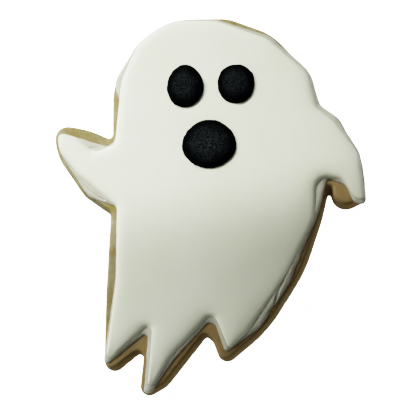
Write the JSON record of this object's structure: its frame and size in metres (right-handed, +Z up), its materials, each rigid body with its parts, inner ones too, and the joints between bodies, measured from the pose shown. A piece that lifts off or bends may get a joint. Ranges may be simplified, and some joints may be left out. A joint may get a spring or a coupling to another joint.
{
  "type": "iced biscuit",
  "caption": "Flat sugar biscuit cut as a waving ghost, with a thick white icing top, a piped edge, and raised black eyes and mouth.",
  "frame": {"origin": "centre of the bounding box at the biscuit's underside, which is the surface it lies on", "axes": "+Z up out of the iced face, +Y toward the top of the head, +X toward the ghost's right arm as seen from above"},
  "size_m": [0.0909, 0.1104, 0.012],
  "materials": {
    "baked_biscuit": "matte",
    "white_icing": "satin",
    "black_icing": "matt black royal icing with a fine grain"
  },
  "bodies": {
    "root": {"biscuit": "baked_biscuit", "icing_border": "white_icing", "icing_flood": "white_icing", "eye_left": "black_icing", "eye_right": "black_icing", "mouth": "black_icing"}
  },
  "joints": []
}
